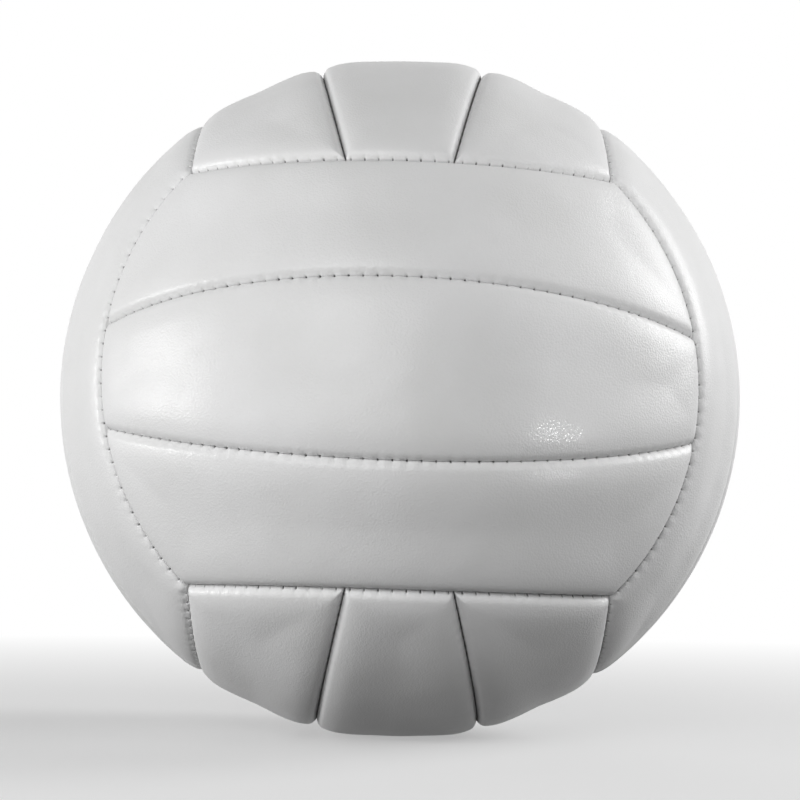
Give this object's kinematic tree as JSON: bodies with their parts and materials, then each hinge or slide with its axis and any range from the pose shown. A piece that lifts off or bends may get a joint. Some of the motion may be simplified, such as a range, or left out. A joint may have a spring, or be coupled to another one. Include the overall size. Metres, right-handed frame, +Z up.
{
  "type": "volleyball",
  "caption": "White ball of sewn, padded strip panels over a rubber bladder, with a needle valve.",
  "frame": {"origin": "centre of the ball", "axes": "+Z up, the face of three level strips that the picture shows is on -Y, and the valve is on +Y, pointing out along +Y"},
  "size_m": [0.21, 0.2099, 0.21],
  "materials": {
    "cover": "satin",
    "padding": "matte",
    "thread": "matte",
    "bladder": "satin",
    "valve": "matte"
  },
  "bodies": {
    "root": {"panel_top_left": "cover", "panel_top_middle": "cover", "panel_top_right": "cover", "panel_bottom_left": "cover", "panel_bottom_middle": "cover", "panel_bottom_right": "cover", "panel_back_lower": "cover", "panel_back_middle": "cover", "panel_back_upper": "cover", "panel_front_lower": "cover", "panel_front_middle": "cover", "panel_front_upper": "cover", "panel_right_front": "cover", "panel_right_middle": "cover", "panel_right_rear": "cover", "panel_left_front": "cover", "panel_left_middle": "cover", "panel_left_rear": "cover", "padding_top_left": "padding", "padding_top_middle": "padding", "padding_top_right": "padding", "padding_bottom_left": "padding", "padding_bottom_middle": "padding", "padding_bottom_right": "padding", "padding_back_lower": "padding", "padding_back_middle": "padding", "padding_back_upper": "padding", "padding_front_lower": "padding", "padding_front_middle": "padding", "padding_front_upper": "padding", "padding_right_front": "padding", "padding_right_middle": "padding", "padding_right_rear": "padding", "padding_left_front": "padding", "padding_left_middle": "padding", "padding_left_rear": "padding", "stitching_top_left": "thread", "stitching_top_right": "thread", "stitching_bottom_left": "thread", "stitching_bottom_right": "thread", "stitching_back_bottom": "thread", "stitching_back_top": "thread", "stitching_front_bottom": "thread", "stitching_front_top": "thread", "stitching_right_front": "thread", "stitching_right_back": "thread", "stitching_left_front": "thread", "stitching_left_back": "thread", "stitching_top_inner": "thread", "stitching_bottom_inner": "thread", "stitching_back_inner": "thread", "stitching_front_inner": "thread", "stitching_right_inner": "thread", "stitching_left_inner": "thread", "bladder": "bladder", "valve_patch": "bladder", "valve_housing": "valve", "valve_core": "valve"}
  },
  "joints": []
}
